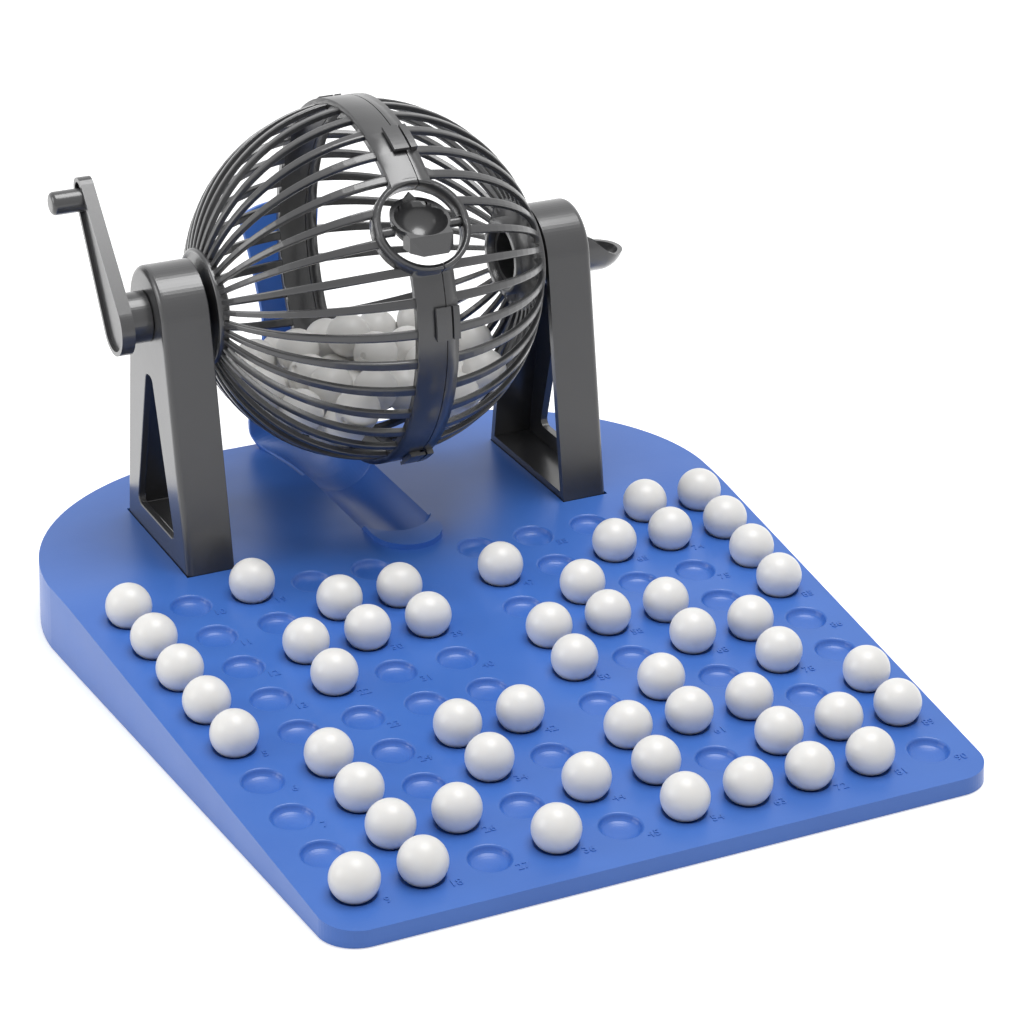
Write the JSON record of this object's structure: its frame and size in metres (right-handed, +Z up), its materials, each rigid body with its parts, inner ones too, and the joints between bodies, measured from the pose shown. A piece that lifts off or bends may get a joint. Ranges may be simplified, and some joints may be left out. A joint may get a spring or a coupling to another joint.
{
  "type": "bingo game",
  "caption": "Tabletop bingo game: a dimpled tray for drawn balls, and a crank-turned ball cage on two stands with a tipping outlet cup, a slide and a loading spout.",
  "frame": {"origin": "on the table, below the middle of the whole object's box", "axes": "+X along the cage's axle from the crank to the loading spout, +Y to the rear, +Z up"},
  "size_m": [0.242, 0.3089, 0.165],
  "materials": {
    "blue_plastic": "satin moulded",
    "dark_grey_plastic": "satin moulded",
    "white_plastic": "smooth moulded"
  },
  "bodies": {
    "base": {"base_tray": "blue_plastic", "ball_slide": "blue_plastic", "stand_crank_side": "dark_grey_plastic", "stand_spout_side": "dark_grey_plastic", "ball_column_1_row_1": "white_plastic", "ball_column_1_row_2": "white_plastic", "ball_column_1_row_3": "white_plastic", "ball_column_1_row_4": "white_plastic", "ball_column_1_row_5": "white_plastic", "ball_column_1_row_9": "white_plastic", "ball_column_2_row_6": "white_plastic", "ball_column_2_row_7": "white_plastic", "ball_column_2_row_8": "white_plastic", "ball_column_2_row_9": "white_plastic", "ball_column_3_row_1": "white_plastic", "ball_column_3_row_3": "white_plastic", "ball_column_3_row_4": "white_plastic", "ball_column_3_row_8": "white_plastic", "ball_column_4_row_2": "white_plastic", "ball_column_4_row_3": "white_plastic", "ball_column_4_row_6": "white_plastic", "ball_column_4_row_7": "white_plastic", "ball_column_4_row_9": "white_plastic", "ball_column_5_row_2": "white_plastic", "ball_column_5_row_3": "white_plastic", "ball_column_5_row_6": "white_plastic", "ball_column_5_row_8": "white_plastic", "ball_column_6_row_2": "white_plastic", "ball_column_6_row_4": "white_plastic", "ball_column_6_row_5": "white_plastic", "ball_column_6_row_7": "white_plastic", "ball_column_6_row_8": "white_plastic", "ball_column_6_row_9": "white_plastic", "ball_column_7_row_3": "white_plastic", "ball_column_7_row_4": "white_plastic", "ball_column_7_row_6": "white_plastic", "ball_column_7_row_7": "white_plastic", "ball_column_7_row_9": "white_plastic", "ball_column_8_row_2": "white_plastic", "ball_column_8_row_4": "white_plastic", "ball_column_8_row_5": "white_plastic", "ball_column_8_row_7": "white_plastic", "ball_column_8_row_8": "white_plastic", "ball_column_8_row_9": "white_plastic", "ball_column_9_row_1": "white_plastic", "ball_column_9_row_2": "white_plastic", "ball_column_9_row_5": "white_plastic", "ball_column_9_row_6": "white_plastic", "ball_column_9_row_8": "white_plastic", "ball_column_9_row_9": "white_plastic", "ball_column_10_row_1": "white_plastic", "ball_column_10_row_2": "white_plastic", "ball_column_10_row_3": "white_plastic", "ball_column_10_row_4": "white_plastic", "ball_column_10_row_7": "white_plastic", "ball_column_10_row_8": "white_plastic"},
    "cage": {"cage_half_crank": "dark_grey_plastic", "cage_half_spout": "dark_grey_plastic", "crank_handle": "dark_grey_plastic"},
    "cup": {"outlet_cup": "dark_grey_plastic"}
  },
  "joints": [
    {"name": "cage_spin", "type": "hinge", "parent": "base", "child": "cage", "pos_m": [0, 0.07455, 0.1034], "axis": [1, 0, 0], "continuous": true},
    {"name": "cup_tilt", "type": "hinge", "parent": "cage", "child": "cup", "pos_m": [0, 0.02717, 0.1372], "axis": [1, 0, 0], "continuous": true}
  ]
}
